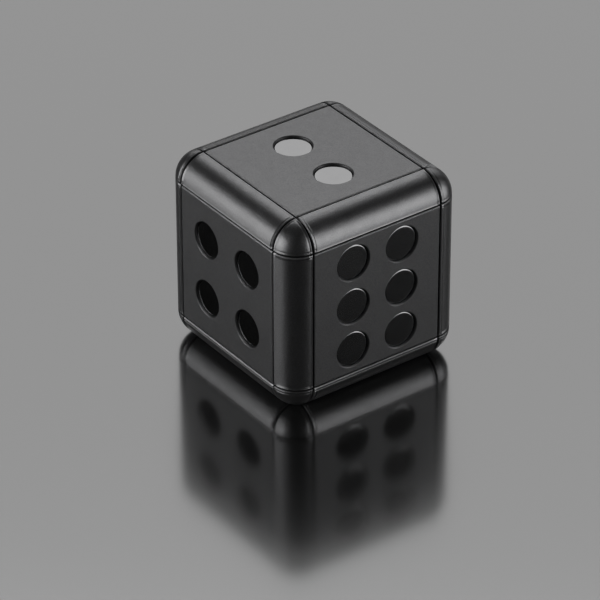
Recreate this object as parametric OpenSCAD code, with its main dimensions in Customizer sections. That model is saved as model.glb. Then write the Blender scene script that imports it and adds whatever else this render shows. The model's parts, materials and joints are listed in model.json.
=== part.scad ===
// Fidget die: a metal cube whose twenty-one pips are sprung click buttons.
// A solid core carries six face plates, twelve quarter-round edge bars and eight ball corner
// caps. Lips under the bars and caps hold the plates, and dowel pins hold the bars and caps.
// Origin: centre of the bottom face. +Z up, the six-pip face looks along -Y.

/* [Cube] */
// Size across opposite faces, mm
cube_size = 33; // [30:0.5:42]
// Radius of the rounded edges and corners
edge_radius = 4.45; // [4.2:0.05:5.35]
// Width of the seams between the outer pieces
seam_gap = 0.25; // [0.2:0.05:0.4]
// Chamfer along the outer edges of the bars, caps and plates
edge_chamfer = 0.15; // [0.1:0.05:0.5]

/* [Face plates] */
// Thickness of the flange round a plate's foot
flange_thickness = 0.85; // [0.6:0.05:1.05]
// Clearance between pieces that only locate each other
seat_clearance = 0.05; // [0.02:0.01:0.08]

/* [Pip buttons] */
// Diameter of a pip button
button_d = 5.9; // [4.6:0.1:6.4]
// Radial running clearance of a button in its plate
button_clearance = 0.07; // [0.04:0.01:0.1]
// Depth of a button's face below the plate
pip_recess = 0.35; // [0.2:0.05:0.5]
// Chamfer round the mouth of a pip hole
rim_chamfer = 0.15; // [0.05:0.05:0.2]
// Chamfer round a button's face
button_chamfer = 0.15; // [0.05:0.05:0.25]
// Thickness of the plate round a button, in front of its flange
web_thickness = 1.2; // [0.9:0.05:1.45]
// How far the button's flange stands out past its side
button_flange = 0.4; // [0.3:0.05:0.5]
// Thickness of the button's flange
button_flange_thickness = 0.6; // [0.5:0.05:0.75]
// Diameter of the nub that presses the dome
nub_d = 1.8; // [1.2:0.1:2.4]
// Length of the nub, from the flange to the dome
nub_length = 0.31; // [0.2:0.01:0.5]

/* [Pip layout] */
// Distance between the pips of the two
two_pitch = 10.4; // [8:0.2:12]
// Side of the square on which the pips of the four and the five lie
square_pitch = 10.6; // [10.4:0.1:12]
// Distance between the two columns of the six
column_pitch = 9.2; // [8:0.1:11]
// Flat left between the outermost pips of the three and the six and the plate's chamfer
pip_margin = 0.8; // [0.3:0.05:1]

/* [Snap domes] */
// Thickness of a dome sheet
sheet_thickness = 0.15; // [0.1:0.05:0.2]
// How far a dome sheet stays inside its plate's flange
sheet_margin = 0.25; // [0.15:0.05:0.4]
// Gap between the foot of a snap dome and the wall of the counterbore round it
dome_margin = 0.6; // [0.4:0.1:1]
// Height of a snap dome above its sheet
dome_height = 0.6; // [0.5:0.02:0.74]

/* [Dowel pins] */
// Diameter of the dowel pins
pin_d = 1.2; // [0.8:0.04:1.48]
// Radial clearance of a dowel pin in its hole, filled by retaining compound
pin_clearance = 0.02; // [0.01:0.01:0.05]
// Wall left between the end of a pin's hole and the outside of its bar or cap
pin_wall = 0.7; // [0.5:0.05:0.8]
// How deep an edge bar's pin sits in the core
edge_pin_depth = 2.7; // [2:0.1:4]
// How deep a corner cap's pin sits in the core
corner_pin_depth = 2.5; // [2:0.1:4]
// Distance between the two pins of an edge bar
edge_pin_spacing = 14; // [10:0.5:17]

/* [Hidden] */
$fn = 96;
eps = 0.01;
pin_end_gap = 0.1;
pin_margin = 0.05;
stop_gap = 0.02;

half = cube_size / 2;
seam = half - edge_radius;
plate_half = seam - seam_gap / 2;
bar_start = seam + seam_gap / 2;

// Heights of a face's stack above the cube's centre, from the outside in
button_face = half - pip_recess;
button_stop = half - web_thickness;
button_flange_top = button_stop - stop_gap;
button_flange_foot = button_flange_top - button_flange_thickness;
nub_foot = button_flange_foot - nub_length;
dome_top = nub_foot - stop_gap;
plate_back = dome_top - dome_height;
core_half = plate_back - sheet_thickness;
plate_thickness = half - plate_back;

pin_hole_d = pin_d + 2 * pin_clearance;
pip_hole_d = button_d + 2 * button_clearance;
counterbore_d = pip_hole_d + 2 * button_flange;
dome_d = counterbore_d - 2 * dome_margin;
dome_sphere_r = (dome_height * dome_height + dome_d * dome_d / 4) / (2 * dome_height);
row_pitch = plate_half - edge_chamfer - pip_margin - rim_chamfer - pip_hole_d / 2;

// The bars and caps rest on the core beyond the plate's flange, on a seat wide enough for a pin
seat_width = pin_hole_d / sqrt(2) + pin_margin;
rebate_half = core_half - seat_width;
flange_half = rebate_half - seat_clearance;
flange_top = plate_back + flange_thickness;
rebate_top = flange_top + seat_clearance;
sheet_half = flange_half - sheet_margin;

edge_pin_offset = core_half * sqrt(2);
corner_pin_offset = core_half * sqrt(3);
edge_pin_reach = edge_radius - (core_half - seam) * sqrt(2) - pin_wall - pin_end_gap;
corner_pin_reach = edge_radius - (core_half - seam) * sqrt(3) - pin_wall - pin_end_gap;
corner_tilt = atan(sqrt(2));

black = "#26272a";
nickel = "#8f9296";
bright_steel = "#c3c6ca";

// Each face: its number of pips as a word, that number, and the turn that lays it from the top
FACES = [
    ["one", 1, [-90, 0, 0]],
    ["two", 2, [0, 0, 0]],
    ["three", 3, [0, 90, 0]],
    ["four", 4, [0, -90, 0]],
    ["five", 5, [180, 0, 0]],
    ["six", 6, [90, 0, 0]]
];

// Each run of four edge bars: the turn that lays the upright bar along its axis, the axis, and
// the names in steps of a quarter turn
BAR_RUNS = [
    [[0, 0, 0], [0, 0, 1], ["back_right", "back_left", "front_left", "front_right"]],
    [[0, 90, 0], [1, 0, 0], ["bottom_back", "top_back", "top_front", "bottom_front"]],
    [[-90, 0, 0], [0, 1, 0], ["bottom_right", "bottom_left", "top_left", "top_right"]]
];

// Each ring of four corner caps: the turn that lays the top cap in its ring, and the names
CAP_RINGS = [
    [[0, 0, 0], ["top_back_right", "top_back_left", "top_front_left", "top_front_right"]],
    [[180, 0, 0], ["bottom_front_right", "bottom_back_right", "bottom_back_left", "bottom_front_left"]]
];

function square_pips(pitch) = [for (x = [-1, 1]) for (y = [-1, 1]) [x * pitch / 2, y * pitch / 2]];

// Places of a face's pips, seen from outside with the face turned to the top
function pips(count) =
    count == 1 ? [[0, 0]]
    : count == 2 ? [for (y = [-1, 1]) [0, y * two_pitch / 2]]
    : count == 3 ? [for (x = [-1 : 1]) [x * row_pitch, 0]]
    : count == 4 ? square_pips(square_pitch)
    : count == 5 ? concat([[0, 0]], square_pips(square_pitch))
    : [for (x = [-1, 1]) for (y = [-1 : 1]) [x * column_pitch / 2, y * row_pitch]];

function plate_name(face) = str("face_plate_", face[0]);
function domes_name(face) = str("dome_sheet_", face[0]);
function button_name(face, i) = str("button_", face[0], "_", i + 1);
function bar_name(run, i) = str("edge_bar_", run[2][i]);
function cap_name(ring, i) = str("corner_cap_", ring[1][i]);

// Lifts a piece drawn about the cube's centre onto the surface that the cube stands on
module on_surface() {
    translate([0, 0, half]) children();
}

// Lays a piece drawn on the top face onto another face
module on_face(face) {
    on_surface() rotate(face[2]) children();
}

// Lays a piece drawn for the upright back right edge onto one edge of a run
module on_edge(run, i) {
    rotate(90 * i * run[1]) rotate(run[0]) children();
}

// Lays a piece drawn for the top back right corner onto one corner of a ring
module on_corner(ring, i) {
    rotate([0, 0, 90 * i]) rotate(ring[0]) children();
}

// A dowel of a given diameter that points out along an edge's diagonal
module edge_dowels(d, inner, outer) {
    for (z = [-1, 1])
        translate([0, 0, z * edge_pin_spacing / 2])
            rotate([0, 90, 45])
                translate([0, 0, edge_pin_offset + inner])
                    cylinder(h = outer - inner, d = d);
}

// A dowel of a given diameter that points out along a corner's diagonal
module corner_dowel(d, inner, outer) {
    rotate([0, corner_tilt, 45])
        translate([0, 0, corner_pin_offset + inner])
            cylinder(h = outer - inner, d = d);
}

// Solid block in the middle, with blind holes for the dowels in its edges and corners
module core_block() {
    edge_depth = edge_pin_depth + pin_end_gap;
    corner_depth = corner_pin_depth + pin_end_gap;
    color(black) on_surface() difference() {
        cube(2 * core_half, center = true);
        for (run = BAR_RUNS) for (i = [0 : 3])
            on_edge(run, i) edge_dowels(pin_hole_d, -edge_depth, 1);
        for (ring = CAP_RINGS) for (i = [0 : 3])
            on_corner(ring, i) corner_dowel(pin_hole_d, -corner_depth, 1);
    }
}

// The twenty-four dowels of the edge bars
module edge_pins() {
    color(bright_steel) on_surface()
        for (run = BAR_RUNS) for (i = [0 : 3])
            on_edge(run, i) edge_dowels(pin_d, -edge_pin_depth, edge_pin_reach);
}

// The eight dowels of the corner caps
module corner_pins() {
    color(bright_steel) on_surface()
        for (ring = CAP_RINGS) for (i = [0 : 3])
            on_corner(ring, i) corner_dowel(pin_d, -corner_pin_depth, corner_pin_reach);
}

// Outline of a plate across its width: flanged foot, straight side and chamfered top edge
module plate_section() {
    top_half = plate_half - edge_chamfer;
    polygon([
        [-flange_half, plate_back],
        [flange_half, plate_back],
        [flange_half, flange_top],
        [plate_half, flange_top],
        [plate_half, half - edge_chamfer],
        [top_half, half],
        [-top_half, half],
        [-plate_half, half - edge_chamfer],
        [-plate_half, flange_top],
        [-flange_half, flange_top]
    ]);
}

// Hole of one pip: running bore, counterbore for the button's flange and chamfered mouth
module pip_hole() {
    translate([0, 0, plate_back - 1])
        cylinder(h = plate_thickness + 2, d = pip_hole_d);
    translate([0, 0, plate_back - 1])
        cylinder(h = button_stop - plate_back + 1, d = counterbore_d);
    translate([0, 0, half - rim_chamfer])
        cylinder(h = 2 * rim_chamfer, d1 = pip_hole_d, d2 = pip_hole_d + 4 * rim_chamfer);
}

// Square cover plate with a hole for each pip
module face_plate(face) {
    color(black) on_face(face) difference() {
        intersection() {
            rotate([90, 0, 0])
                linear_extrude(height = 2 * flange_half, center = true) plate_section();
            rotate([90, 0, 90])
                linear_extrude(height = 2 * flange_half, center = true) plate_section();
        }
        for (place = pips(face[1]))
            translate([place[0], place[1], 0]) pip_hole();
    }
}

// Thin spring sheet under a plate, with one domed snap spring under each button
module dome_sheet(face) {
    centre = dome_top - dome_sphere_r;
    color(bright_steel) on_face(face) difference() {
        union() {
            translate([-sheet_half, -sheet_half, core_half])
                cube([2 * sheet_half, 2 * sheet_half, sheet_thickness]);
            for (place = pips(face[1]))
                translate([place[0], place[1], 0]) intersection() {
                    translate([0, 0, centre]) sphere(r = dome_sphere_r);
                    translate([0, 0, core_half + eps]) cylinder(h = 2, d = dome_d + 1);
                }
        }
        for (place = pips(face[1]))
            translate([place[0], place[1], centre]) sphere(r = dome_sphere_r - sheet_thickness);
    }
}

// One pip: polished cap, flange that stops it in the plate, and nub over its dome
module pip_button(face, i) {
    place = pips(face[1])[i];
    r = button_d / 2;
    flange_r = r + button_flange;
    color(nickel) on_face(face) translate([place[0], place[1], 0])
        rotate_extrude() polygon([
            [0, nub_foot],
            [nub_d / 2, nub_foot],
            [nub_d / 2, button_flange_foot],
            [flange_r, button_flange_foot],
            [flange_r, button_flange_top],
            [r, button_flange_top],
            [r, button_face - button_chamfer],
            [r - button_chamfer, button_face],
            [0, button_face]
        ]);
}

// Cross-section of an edge bar: quarter round that sits astride the core's edge, with a lip
// over the flange of the plate on each side
module bar_section() {
    difference() {
        polygon([
            [bar_start, bar_start],
            [half - edge_chamfer, bar_start],
            [half, bar_start + edge_chamfer],
            [half, half],
            [bar_start + edge_chamfer, half],
            [bar_start, half - edge_chamfer]
        ]);
        square(core_half);
        square([rebate_half, rebate_top]);
        square([rebate_top, rebate_half]);
    }
}

// Quarter-round bar along one edge of the cube
module edge_bar(run, i) {
    waist = edge_radius - edge_chamfer;
    color(black) on_surface() on_edge(run, i) difference() {
        intersection() {
            linear_extrude(height = 2 * plate_half, center = true) bar_section();
            translate([seam, seam, 0]) rotate_extrude() polygon([
                [0, -plate_half],
                [waist, -plate_half],
                [edge_radius, edge_chamfer - plate_half],
                [edge_radius, plate_half - edge_chamfer],
                [waist, plate_half],
                [0, plate_half]
            ]);
        }
        edge_dowels(pin_hole_d, -1, edge_pin_reach + pin_end_gap);
    }
}

// Cone that chamfers the edge of a corner cap along one of its three seams
module cap_cone() {
    waist = edge_radius - edge_chamfer;
    translate([seam, seam, bar_start])
        cylinder(h = edge_radius, r1 = waist, r2 = waist + edge_radius);
}

// Ball corner over one corner of the core, with a lip over each of three plate flanges
module corner_cap(ring, i) {
    color(black) on_surface() on_corner(ring, i) difference() {
        intersection() {
            translate([seam, seam, seam]) sphere(r = edge_radius);
            translate([bar_start, bar_start, bar_start]) cube(edge_radius);
            cap_cone();
            rotate([90, 0, 90]) cap_cone();
            rotate([0, -90, -90]) cap_cone();
        }
        cube(core_half);
        cube([rebate_half, rebate_half, rebate_top]);
        cube([rebate_half, rebate_top, rebate_half]);
        cube([rebate_top, rebate_half, rebate_half]);
        corner_dowel(pin_hole_d, -1, corner_pin_reach + pin_end_gap);
    }
}

core_block();
edge_pins();
corner_pins();
for (face = FACES) {
    face_plate(face);
    dome_sheet(face);
    for (i = [0 : face[1] - 1])
        pip_button(face, i);
}
for (run = BAR_RUNS) for (i = [0 : 3])
    edge_bar(run, i);
for (ring = CAP_RINGS) for (i = [0 : 3])
    corner_cap(ring, i);
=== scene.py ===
"""A black metal fidget die on a glossy grey table: chamfered plates, edge bars and ball corners,
with mirror-polished click buttons for pips. Lengths are in metres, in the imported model's frame."""
import itertools
import json
import math
import random

import bpy
from mathutils import Matrix, Vector
from mathutils.geometry import tessellate_polygon


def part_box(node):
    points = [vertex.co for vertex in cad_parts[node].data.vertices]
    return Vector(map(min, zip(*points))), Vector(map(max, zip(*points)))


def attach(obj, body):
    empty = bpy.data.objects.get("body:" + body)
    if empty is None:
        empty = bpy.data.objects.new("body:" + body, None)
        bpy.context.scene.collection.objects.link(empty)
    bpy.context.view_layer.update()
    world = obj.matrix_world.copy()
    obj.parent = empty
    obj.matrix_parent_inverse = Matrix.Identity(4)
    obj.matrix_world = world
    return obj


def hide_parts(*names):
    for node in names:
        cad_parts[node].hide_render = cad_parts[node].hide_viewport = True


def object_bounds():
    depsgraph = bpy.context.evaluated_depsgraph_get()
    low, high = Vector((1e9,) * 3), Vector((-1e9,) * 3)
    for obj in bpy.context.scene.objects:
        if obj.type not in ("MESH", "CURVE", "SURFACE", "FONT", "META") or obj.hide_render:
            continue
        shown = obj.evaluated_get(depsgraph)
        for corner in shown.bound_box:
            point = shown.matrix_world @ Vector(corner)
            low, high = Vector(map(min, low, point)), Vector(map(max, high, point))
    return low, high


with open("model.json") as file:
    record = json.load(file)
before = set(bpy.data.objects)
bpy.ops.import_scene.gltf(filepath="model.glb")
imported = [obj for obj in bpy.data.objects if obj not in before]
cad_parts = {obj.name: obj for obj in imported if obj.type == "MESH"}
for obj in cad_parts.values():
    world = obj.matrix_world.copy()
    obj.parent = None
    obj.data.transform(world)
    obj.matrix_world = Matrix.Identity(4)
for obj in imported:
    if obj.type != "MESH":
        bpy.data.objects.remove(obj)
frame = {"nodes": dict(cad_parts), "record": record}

CAD_BOX = [list(corner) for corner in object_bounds()]

MM = 0.001
CHAMFER = 0.15 * MM        # along the outer edges of the plates, bars and caps
BORDER = 0.52 * MM         # width of the sunken border along the edges of the bars and caps
BORDER_DEPTH = 0.07 * MM   # depth of the step at the border's inner side
BORDER_STEP = 0.05 * MM    # width of that step
MICRO = 0.04 * MM          # radius to which the chamfers' own edges are worn
LIP_ROUND = 0.03 * MM      # the same on edges down in the seams
RIM_CHAMFER = 0.15 * MM    # round the mouth of a pip hole
BUTTON_EDGE = 0.16 * MM    # radius round a button's polished face
ARC_STEPS = 28             # along the quarter round of a bar
ROUND_STEPS = 4            # along a worn edge
CIRCLE_STEPS = 96          # round a pip hole or a button
CAP_STEPS = 80             # along each side of a ball corner
CAP_CROWD = 1.7            # crowds the ball corner's rows of faces towards its chamfers


# ---------------------------------------------------------------- sizes from the frame

def size_of(node):
    low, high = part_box(node)
    return high - low


LOW, HIGH = (Vector(corner) for corner in CAD_BOX)
CENTRE = (LOW + HIGH) / 2
HALF = (HIGH.z - LOW.z) / 2
BAR_LOW, BAR_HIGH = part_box("edge_bar_top_front")
PLATE_LOW, PLATE_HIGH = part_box("face_plate_two")
PLATE_HALF = (BAR_HIGH.x - BAR_LOW.x) / 2
BAR_START = BAR_LOW.z - CENTRE.z
SEAM = (PLATE_HALF + BAR_START) / 2
RADIUS = HALF - SEAM
FLANGE_HALF = (PLATE_HIGH.x - PLATE_LOW.x) / 2
PLATE_BACK = PLATE_LOW.z - CENTRE.z
CORE_HALF = size_of("core_block").z / 2
BUTTON_HEIGHT = size_of("button_two_1").z
BUTTON_FLANGE_R = size_of("button_two_1").x / 2

PIP_RECESS = HIGH.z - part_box("button_two_1")[1].z

SEAT_CLEARANCE = 0.05 * MM
FLANGE_TOP = PLATE_BACK + 0.85 * MM
BUTTON_R = BUTTON_FLANGE_R - 0.4 * MM
HOLE_R = BUTTON_R + 0.07 * MM
COUNTERBORE_R = BUTTON_FLANGE_R + 0.07 * MM
WEB = 1.2 * MM
NUB_R = 0.9 * MM


# ---------------------------------------------------------------- outlines and meshes

def rounded(points, radii, closed=True):
    """The outline with each corner replaced by an arc of its radius; a radius of 0 stays sharp."""
    out = []
    count = len(points)
    for i, (point, radius) in enumerate(zip(points, radii)):
        here = Vector(point)
        ends = not closed and i in (0, count - 1)
        if radius <= 0 or ends:
            out.append(tuple(here))
            continue
        back = Vector(points[i - 1]) - here
        ahead = Vector(points[(i + 1) % count]) - here
        corner = back.angle(ahead)
        reach = min(radius / math.tan(corner / 2), 0.49 * back.length, 0.49 * ahead.length)
        radius = reach * math.tan(corner / 2)
        middle = here + (back.normalized() + ahead.normalized()).normalized() * (
            radius / math.sin(corner / 2))
        start = here + back.normalized() * reach - middle
        turn = math.pi - corner
        if back.x * ahead.y - back.y * ahead.x > 0:
            turn = -turn
        for step in range(ROUND_STEPS + 1):
            angle = turn * step / ROUND_STEPS
            c, s = math.cos(angle), math.sin(angle)
            out.append((middle.x + start.x * c - start.y * s, middle.y + start.x * s + start.y * c))
    return out


def arc(radius, start, end, steps, middle=(0.0, 0.0)):
    """Points along an arc, both ends included, with angles in degrees."""
    angles = [math.radians(start + (end - start) * i / steps) for i in range(steps + 1)]
    return [(middle[0] + radius * math.cos(a), middle[1] + radius * math.sin(a)) for a in angles]


class Shell:
    """Collects the points and faces of one closed piece."""

    def __init__(self):
        self.points = []
        self.faces = []
        self.worn_sheen = set()      # the faces of chamfers, whose black skin is rubbed thin and also painted lighter as a highlight

    def ring(self, points):
        first = len(self.points)
        self.points += [Vector(p) for p in points]
        return list(range(first, first + len(points)))

    def bands(self, rings, worn_sheen_bands=(), worn_sheen_columns=()):
        """Quads between closed rings of the same length, facing out for rings that turn
        anticlockwise and rise. Those between the listed rings or columns are worn, and take the
        lighter skin that also paints in the chamfers' highlight."""
        for k, (low, high) in enumerate(zip(rings, rings[1:])):
            count = len(low)
            for i in range(count):
                j = (i + 1) % count
                if k in worn_sheen_bands or i in worn_sheen_columns:
                    self.worn_sheen.add(len(self.faces))
                self.faces.append((low[i], low[j], high[j], high[i]))

    def cover(self, outer, holes, up):
        """A flat cover between an outer ring and the rings of its holes."""
        rings = [outer, *holes]
        lines = [[self.points[i] for i in ring] for ring in rings]
        flat = [i for ring in rings for i in ring]
        for a, b, c in tessellate_polygon(lines):
            face = (flat[a], flat[b], flat[c])
            p, q, r = (self.points[i] for i in face)
            facing = (q - p).cross(r - p)
            if facing.length < 1e-16:
                continue
            self.faces.append(face if (facing.z > 0) == up else face[::-1])


def piece(name, shell, turn, material, body, node, sharp=40):
    """The mesh object of one piece, turned into place about the cube's centre. Edges that turn by
    more than the sharp angle, in degrees, are shaded as edges."""
    mesh = bpy.data.meshes.new(name)
    placed = [CENTRE + turn @ point for point in shell.points]
    mesh.from_pydata([tuple(p) for p in placed], [], shell.faces)
    mesh.materials.append(material)
    # Chamfer faces get a lighter black: rubbed wear plus a painted highlight where the edges catch
    # the light.
    if shell.worn_sheen:
        mesh.materials.append(worn_sheen_black)
        for i in shell.worn_sheen:
            mesh.polygons[i].material_index = 1
    mesh.validate()
    mesh.shade_smooth()
    mesh.set_sharp_from_angle(angle=math.radians(sharp))
    obj = bpy.data.objects.new(name, mesh)
    bpy.context.scene.collection.objects.link(obj)
    weighted = obj.modifiers.new("flat faces stay flat", "WEIGHTED_NORMAL")
    weighted.keep_sharp = True
    weighted.weight = 80
    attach(obj, body)
    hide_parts(node)
    return obj


def columns(x, y, z):
    """The turn that takes the three axes to these directions."""
    return Matrix((x, y, z)).transposed()


def signs_of(node):
    """Which side of the cube a node is on along each axis: -1, 0 or 1."""
    low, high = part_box(node)
    offset = (low + high) / 2 - CENTRE
    return [0 if abs(c) < HALF / 4 else int(math.copysign(1, c)) for c in offset]


def unit(axis, sign=1):
    return Vector([sign if i == axis else 0 for i in range(3)])


def face_turn(signs):
    axis = next(i for i in range(3) if signs[i])
    up = unit(axis, signs[axis])
    side = unit((axis + 1) % 3)
    return columns(side, up.cross(side), up)


def edge_turn(signs):
    first, second = (i for i in range(3) if signs[i])
    x, y = unit(first, signs[first]), unit(second, signs[second])
    return columns(x, y, x.cross(y))


def corner_turn(signs):
    x, y, z = (unit(i, signs[i]) for i in range(3))
    return columns(x, y, z) if x.cross(y).dot(z) > 0 else columns(y, x, z)


# ---------------------------------------------------------------- pieces

def square_ring(half, corner_r, z):
    """A square with slightly rounded corners, anticlockwise."""
    points = []
    for quarter, (x, y) in enumerate([(1, 1), (-1, 1), (-1, -1), (1, -1)]):
        middle = (x * (half - corner_r), y * (half - corner_r))
        points += arc(corner_r, 90 * quarter, 90 * quarter + 90, ROUND_STEPS, middle)
    return [(px, py, z) for px, py in points]


def circle_ring(radius, middle, z):
    points = arc(radius, 0, 360 - 360 / CIRCLE_STEPS, CIRCLE_STEPS - 1, middle)
    return [(px, py, z) for px, py in points]


def plate_shell(places):
    """Square plate with a flanged foot, chamfered top edge and a stepped hole at each place."""
    side = rounded(
        [(FLANGE_HALF, PLATE_BACK), (FLANGE_HALF, FLANGE_TOP), (PLATE_HALF, FLANGE_TOP),
         (PLATE_HALF, HALF - CHAMFER), (PLATE_HALF - CHAMFER, HALF),
         (PLATE_HALF - 2 * CHAMFER, HALF)],
        [0, LIP_ROUND, 0, MICRO, MICRO, 0], closed=False)
    hole = rounded(
        [(HOLE_R + 2 * RIM_CHAMFER, HALF), (HOLE_R + RIM_CHAMFER, HALF),
         (HOLE_R, HALF - RIM_CHAMFER), (HOLE_R, HALF - WEB), (COUNTERBORE_R, HALF - WEB),
         (COUNTERBORE_R, PLATE_BACK)],
        [0, MICRO / 2, MICRO / 2, 0, 0, 0], closed=False)
    shell = Shell()
    outside = [shell.ring(square_ring(half, 0.12 * MM, z)) for half, z in side]
    chamfer = [k for k, (half, z) in enumerate(side)
               if z > HALF - CHAMFER - MICRO and half > PLATE_HALF - CHAMFER]
    shell.bands(outside, worn_sheen_bands=chamfer)
    tops, feet = [], []
    for place in places:
        rings = [shell.ring(circle_ring(r, place, z)) for r, z in hole]
        shell.bands(rings)
        tops.append(rings[0])
        feet.append(rings[-1])
    shell.cover(outside[-1], tops, up=True)
    shell.cover(outside[0], feet, up=False)
    return shell


def rim_radius(inset):
    """Radius of a bar or cap at a distance in from its edge: chamfer, sunken border, full round."""
    if inset < CHAMFER:
        return RADIUS - CHAMFER + inset
    if inset < BORDER:
        return RADIUS - BORDER_DEPTH * (inset - CHAMFER) / (BORDER - CHAMFER)
    return RADIUS - BORDER_DEPTH * max(0.0, 1 - (inset - BORDER) / BORDER_STEP)


INSETS = [0.0, CHAMFER - MICRO, CHAMFER, CHAMFER + MICRO, BORDER, BORDER + BORDER_STEP]


def bar_outline():
    """Cross-section of the bar, anticlockwise: its outside from one seam round to the other, then
    the steps that it sits on."""
    rebate = FLANGE_HALF + SEAT_CLEARANCE
    top = FLANGE_TOP + SEAT_CLEARANCE
    gap = BAR_START - SEAM
    rim = []
    for inset in INSETS:
        rise = gap + inset
        reach = rim_radius(inset)
        rim.append((SEAM + math.sqrt(reach ** 2 - rise ** 2), SEAM + rise))
    start = math.degrees(math.asin((gap + INSETS[-1]) / RADIUS))
    round_part = arc(RADIUS, start, 90 - start, ARC_STEPS, (SEAM, SEAM))
    far_rim = [(y, x) for x, y in reversed(rim)]
    return [*rim[:-1], *round_part, *far_rim[1:], (BAR_START, top), (rebate, top),
            (rebate, CORE_HALF), (CORE_HALF, CORE_HALF), (CORE_HALF, rebate), (top, rebate),
            (top, BAR_START)]


def bar_shell():
    """Quarter-round bar astride the core's edge, with the same rim along its seams and ends."""
    outline = bar_outline()
    ends = [(rim_radius(inset), PLATE_HALF - inset) for inset in INSETS]
    stations = [(limit, -z) for limit, z in ends] + list(reversed(ends))
    shell = Shell()
    rings = []
    for limit, z in stations:
        ring = []
        for x, y in outline:
            reach = math.hypot(x - SEAM, y - SEAM)
            pull = min(1.0, limit / reach)
            ring.append((SEAM + (x - SEAM) * pull, SEAM + (y - SEAM) * pull, z))
        rings.append(shell.ring(ring))
    chamfer = INSETS.index(CHAMFER + MICRO)
    arc_end = 2 * len(INSETS) + ARC_STEPS - 2
    last = len(rings) - 1
    shell.bands(rings, worn_sheen_bands=[*range(chamfer), *range(last - chamfer, last)],
                worn_sheen_columns=[*range(chamfer), *range(arc_end - chamfer, arc_end)])
    shell.faces.append(tuple(rings[0][::-1]))
    shell.faces.append(tuple(rings[-1]))
    return shell


def cap_reach(start, way):
    """How far the cap's outside lies from a point, along a direction."""
    gap = BAR_START - SEAM
    near, far = 0.0, 2 * RADIUS
    for _ in range(40):
        middle = (near + far) / 2
        p = start + way * middle
        if p.length > min(rim_radius(c - gap) for c in p):
            far = middle
        else:
            near = middle
    return near


def cap_shell():
    """Ball corner over the core's corner: an eighth of a ball with the bars' rim, hollowed in
    steps where it sits on the core and over the plates' flanges."""
    gap = BAR_START - SEAM
    seam_point = Vector((SEAM, SEAM, SEAM))
    root = Vector((gap, gap, gap))
    shell = Shell()
    index = {}
    for i, j in itertools.product(range(CAP_STEPS + 1), repeat=2):
        k = CAP_STEPS - i - j
        if k < 0:
            continue
        way = Vector([(n / CAP_STEPS) ** CAP_CROWD for n in (i, j, k)]).normalized()
        index[i, j] = len(shell.points)
        shell.points.append(seam_point + root + way * cap_reach(root, way))
    for i, j in index:
        if i + j < CAP_STEPS:
            shell.faces.append((index[i, j], index[i + 1, j], index[i, j + 1]))
        if i + j < CAP_STEPS - 1:
            shell.faces.append((index[i + 1, j], index[i + 1, j + 1], index[i, j + 1]))
    steps = [BAR_START, FLANGE_HALF + SEAT_CLEARANCE, CORE_HALF, FLANGE_TOP + SEAT_CLEARANCE]
    grid = {}

    def corner(a, b, c):
        if (a, b, c) not in grid:
            grid[a, b, c] = len(shell.points)
            shell.points.append(Vector((steps[a], steps[b], steps[c])))
        return grid[a, b, c]

    def hollow(cell):
        low, middle, high = sorted(cell)
        return high < 2 or (low == middle == 0 and high == 2)

    for cell in itertools.product(range(3), repeat=3):
        if not hollow(cell):
            continue
        for axis in range(3):
            beyond = [cell[i] + (i == axis) for i in range(3)]
            if beyond[axis] < 3 and hollow(beyond):
                continue
            b, c = (axis + 1) % 3, (axis + 2) % 3
            quad = []
            for db, dc in ((0, 0), (0, 1), (1, 1), (1, 0)):
                at = list(beyond)
                at[b] += db
                at[c] += dc
                quad.append(corner(*at))
            shell.faces.append(tuple(quad))
    stairs = [(0, 3), (1, 3), (1, 2), (2, 2), (2, 1), (3, 1), (3, 0)]
    rims = [
        [index[0, j] for j in range(CAP_STEPS + 1)],
        [index[CAP_STEPS - k, 0] for k in range(CAP_STEPS + 1)],
        [index[i, CAP_STEPS - i] for i in range(CAP_STEPS + 1)],
    ]
    ends = [lambda u, v: (0, u, v), lambda u, v: (v, 0, u), lambda u, v: (u, v, 0)]
    wanted = [unit(0, -1), unit(1, -1), unit(2, -1)]
    for rim, place, facing in zip(rims, ends, wanted):
        inner = [corner(*place(u, v)) for u, v in stairs]
        first = shell.points[rim[0]]
        if (shell.points[inner[0]] - first).length < (shell.points[inner[-1]] - first).length:
            inner = inner[::-1]
        face = rim + inner
        normal = Vector()
        for a, b in zip(face, face[1:] + face[:1]):
            normal += shell.points[a].cross(shell.points[b])
        shell.faces.append(tuple(face if normal.dot(facing) > 0 else face[::-1]))
    return shell


def button_shell():
    """Polished cap, flange and nub, drawn upright with the middle of its height at the origin."""
    top = BUTTON_HEIGHT / 2
    flange_top = top - (WEB + 0.02 * MM - PIP_RECESS)
    flange_foot = flange_top - 0.6 * MM
    section = rounded(
        [(NUB_R, -top), (NUB_R, flange_foot), (BUTTON_FLANGE_R, flange_foot),
         (BUTTON_FLANGE_R, flange_top), (BUTTON_R, flange_top), (BUTTON_R, top),
         (BUTTON_R - 2 * BUTTON_EDGE, top)],
        [0, 0, LIP_ROUND, LIP_ROUND, 0, BUTTON_EDGE, 0], closed=False)
    shell = Shell()
    rings = [shell.ring(circle_ring(r, (0, 0), z)) for r, z in section]
    shell.bands(rings)
    shell.faces.append(tuple(rings[0][::-1]))
    shell.faces.append(tuple(rings[-1]))
    return shell


# ---------------------------------------------------------------- materials

def new_material(name):
    material = bpy.data.materials.new(name)
    material.use_nodes = True
    tree = material.node_tree
    shader = tree.nodes["Principled BSDF"]
    return material, tree, shader


def node(tree, kind, **values):
    made = tree.nodes.new(kind)
    for key, value in values.items():
        if key in made.inputs:
            made.inputs[key].default_value = value
        else:
            setattr(made, key, value)
    return made


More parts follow.
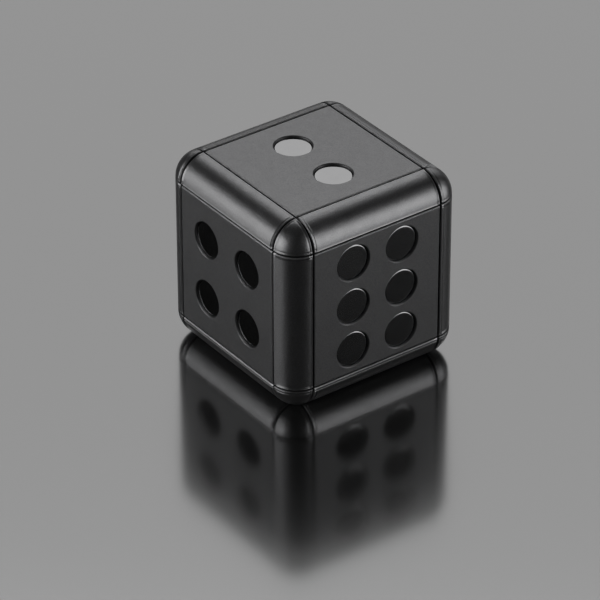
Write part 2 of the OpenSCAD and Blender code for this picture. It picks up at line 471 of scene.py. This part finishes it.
def anodised(name, shade, smoothest):
    """Bead-blasted black anodising: a dark satin skin with a fine pebbled grain."""
    tint = (shade, shade, shade * 1.02)
    material, tree, shader = new_material(name)
    link = tree.links.new
    where = node(tree, "ShaderNodeTexCoord")
    grain = node(tree, "ShaderNodeTexNoise", Scale=6500.0, Detail=2.0, Roughness=0.6)
    mottle = node(tree, "ShaderNodeTexNoise", Scale=900.0, Detail=2.0, Roughness=0.5)
    link(where.outputs["Object"], grain.inputs["Vector"])
    link(where.outputs["Object"], mottle.inputs["Vector"])
    colour = node(tree, "ShaderNodeMix", data_type="RGBA")
    colour.inputs["A"].default_value = (*[c * 0.6 for c in tint], 1)
    colour.inputs["B"].default_value = (*[c * 1.45 for c in tint], 1)
    link(grain.outputs["Fac"], colour.inputs["Factor"])
    link(colour.outputs["Result"], shader.inputs["Base Color"])
    rough = node(tree, "ShaderNodeMapRange")
    rough.inputs["From Min"].default_value = 0.3
    rough.inputs["From Max"].default_value = 0.7
    rough.inputs["To Min"].default_value = smoothest
    rough.inputs["To Max"].default_value = smoothest + 0.08
    link(mottle.outputs["Fac"], rough.inputs["Value"])
    link(rough.outputs["Result"], shader.inputs["Roughness"])
    bump = node(tree, "ShaderNodeBump", Strength=1.0, Distance=0.03 * MM)
    link(grain.outputs["Fac"], bump.inputs["Height"])
    link(bump.outputs["Normal"], shader.inputs["Normal"])
    shader.inputs["Metallic"].default_value = 0.85
    return material


def polished(name):
    """Mirror-polished nickel with faint polishing marks and smudges."""
    material, tree, shader = new_material(name)
    link = tree.links.new
    where = node(tree, "ShaderNodeTexCoord")
    smudge = node(tree, "ShaderNodeTexNoise", Scale=420.0, Detail=3.0, Roughness=0.6)
    marks = node(tree, "ShaderNodeTexNoise", Scale=2600.0, Detail=4.0, Roughness=0.7)
    link(where.outputs["Object"], smudge.inputs["Vector"])
    link(where.outputs["Object"], marks.inputs["Vector"])
    rough = node(tree, "ShaderNodeMapRange")
    rough.inputs["From Min"].default_value = 0.3
    rough.inputs["From Max"].default_value = 0.75
    rough.inputs["To Min"].default_value = 0.03
    rough.inputs["To Max"].default_value = 0.09
    link(smudge.outputs["Fac"], rough.inputs["Value"])
    link(rough.outputs["Result"], shader.inputs["Roughness"])
    bump = node(tree, "ShaderNodeBump", Strength=0.04, Distance=0.004 * MM)
    link(marks.outputs["Fac"], bump.inputs["Height"])
    link(bump.outputs["Normal"], shader.inputs["Normal"])
    colour = node(tree, "ShaderNodeMix", data_type="RGBA")
    colour.inputs["A"].default_value = (0.42, 0.42, 0.425, 1)
    colour.inputs["B"].default_value = (0.49, 0.49, 0.495, 1)
    link(smudge.outputs["Fac"], colour.inputs["Factor"])
    link(colour.outputs["Result"], shader.inputs["Base Color"])
    shader.inputs["Metallic"].default_value = 1.0
    return material


def spring_steel(name):
    """Bright spring steel with a faint change of gloss."""
    material, tree, shader = new_material(name)
    where = node(tree, "ShaderNodeTexCoord")
    marks = node(tree, "ShaderNodeTexNoise", Scale=3000.0, Detail=2.0)
    tree.links.new(where.outputs["Object"], marks.inputs["Vector"])
    rough = node(tree, "ShaderNodeMapRange")
    rough.inputs["To Min"].default_value = 0.25
    rough.inputs["To Max"].default_value = 0.4
    tree.links.new(marks.outputs["Fac"], rough.inputs["Value"])
    tree.links.new(rough.outputs["Result"], shader.inputs["Roughness"])
    shader.inputs["Base Color"].default_value = (0.55, 0.56, 0.57, 1)
    shader.inputs["Metallic"].default_value = 1.0
    return material


def dress(node_name, material):
    """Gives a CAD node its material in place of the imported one."""
    obj = frame["nodes"][node_name]
    for slot in obj.material_slots:
        slot.material = material


# ---------------------------------------------------------------- the object

plate_black = anodised("plate_black", 0.14, 0.34)
bar_black = anodised("bar_black", 0.17, 0.31)
cap_black = anodised("cap_black", 0.17, 0.31)
# Lighter black for the chamfers: partly rubbed anodising, partly a painted highlight on the edges.
worn_sheen_black = anodised("worn_sheen_black", 0.34, 0.31)
nickel = polished("button_nickel")
steel = spring_steel("spring_steel")

BODY_OF = {name: body for body, names in frame["record"]["behaviour"]["bodies"].items()
           for name in names}
names = sorted(frame["nodes"])

dress("core_block", cap_black)
for name in names:
    if name.startswith("dome_sheet") or name.endswith("_pins"):
        dress(name, steel)

random.seed(6)
upright_button = button_shell()
for name in names:
    if name.startswith("face_plate_"):
        turn = face_turn(signs_of(name))
        face = name.removeprefix("face_plate_")
        places = []
        for other in names:
            if other.startswith("button_" + face + "_"):
                low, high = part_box(other)
                local = turn.transposed() @ ((low + high) / 2 - CENTRE)
                places.append((local.x, local.y))
        piece(name.replace("face_", "cover_"), plate_shell(places), turn, plate_black,
              BODY_OF[name], name)
    elif name.startswith("edge_bar_"):
        piece(name.replace("edge_bar", "round_bar"), bar_shell(), edge_turn(signs_of(name)),
              bar_black, BODY_OF[name], name)
    elif name.startswith("corner_cap_"):
        piece(name.replace("corner_cap", "ball_corner"), cap_shell(), corner_turn(signs_of(name)),
              cap_black, BODY_OF[name], name, sharp=75)
    elif name.startswith("button_"):
        face = name.split("_")[1]
        turn = face_turn(signs_of("face_plate_" + face))
        low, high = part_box(name)
        middle = turn.transposed() @ ((low + high) / 2 - CENTRE)
        lean = Matrix.Rotation(math.radians(random.uniform(0.1, 0.45)), 3,
                               Vector((random.uniform(-1, 1), random.uniform(-1, 1), 0)))
        placed = Shell()
        placed.points = [middle + lean @ p for p in upright_button.points]
        placed.faces = list(upright_button.faces)
        piece(name.replace("button", "pip"), placed, turn, nickel, BODY_OF[name], name)


# ---------------------------------------------------------------- studio

FLOOR_HALF = 1.0
LIGHT_DISTANCE = 1.2
CAMERA_DISTANCE = 0.614


def floor():
    """A plain glossy table top under the cube."""
    mesh = bpy.data.meshes.new("table_top")
    corners = [(-1, -1), (1, -1), (1, 1), (-1, 1)]
    mesh.from_pydata([(CENTRE.x + x * FLOOR_HALF, CENTRE.y + y * FLOOR_HALF, LOW.z)
                      for x, y in corners], [], [(0, 1, 2, 3)])
    obj = bpy.data.objects.new("table_top", mesh)
    bpy.context.scene.collection.objects.link(obj)
    material, _, shader = new_material("table_lacquer")
    shader.inputs["Base Color"].default_value = (0.34, 0.34, 0.34, 1)
    shader.inputs["Metallic"].default_value = 0.96
    shader.inputs["Roughness"].default_value = 0.14
    shader.inputs["Specular IOR Level"].default_value = 1.0
    mesh.materials.append(material)


def direction(azimuth, elevation):
    """The unit vector from the cube towards a place in the studio, from angles in degrees."""
    azimuth, elevation = math.radians(azimuth), math.radians(elevation)
    return Vector((math.sin(azimuth) * math.cos(elevation),
                   -math.cos(azimuth) * math.cos(elevation), math.sin(elevation)))


def softbox(name, azimuth, elevation, half_width, half_height, radiance):
    """A rectangular light of this radiance that faces the cube and fills these angles, in
    degrees, as seen from it."""
    back = direction(azimuth, elevation)
    data = bpy.data.lights.new(name, "AREA")
    data.shape = "RECTANGLE"
    data.size = 2 * LIGHT_DISTANCE * math.tan(math.radians(half_width))
    data.size_y = 2 * LIGHT_DISTANCE * math.tan(math.radians(half_height))
    data.energy = math.pi * data.size * data.size_y * radiance
    obj = bpy.data.objects.new(name, data)
    bpy.context.scene.collection.objects.link(obj)
    obj.location = CENTRE + back * LIGHT_DISTANCE
    obj.rotation_euler = (-back).to_track_quat("-Z", "Y").to_euler()


def surroundings(level):
    """An even dim grey all round."""
    world = bpy.data.worlds.new("studio")
    world.use_nodes = True
    world.node_tree.nodes["Background"].inputs["Color"].default_value = (level,) * 3 + (1,)
    bpy.context.scene.world = world


def camera():
    """Looks down on the corner between the six and the four, from far off with a long lens."""
    back = direction(-36.4, 32.0)
    data = bpy.data.cameras.new("camera")
    data.sensor_width = 36
    data.lens = 237
    data.shift_x, data.shift_y = -0.022, -0.082
    data.clip_start, data.clip_end = 0.05, 10
    obj = bpy.data.objects.new("camera", data)
    bpy.context.scene.collection.objects.link(obj)
    obj.location = CENTRE + back * CAMERA_DISTANCE
    obj.rotation_euler = (-back).to_track_quat("-Z", "Y").to_euler()
    bpy.context.scene.camera = obj


floor()
surroundings(0.014)
softbox("back_light", 140, 51, 24, 9, 2.4)
softbox("back_glow", 140, 27, 30, 17, 0.85)
softbox("left_light", -110, 14, 27, 13, 3.9)
softbox("right_light", 40, 10, 27, 14, 3.1)
camera()
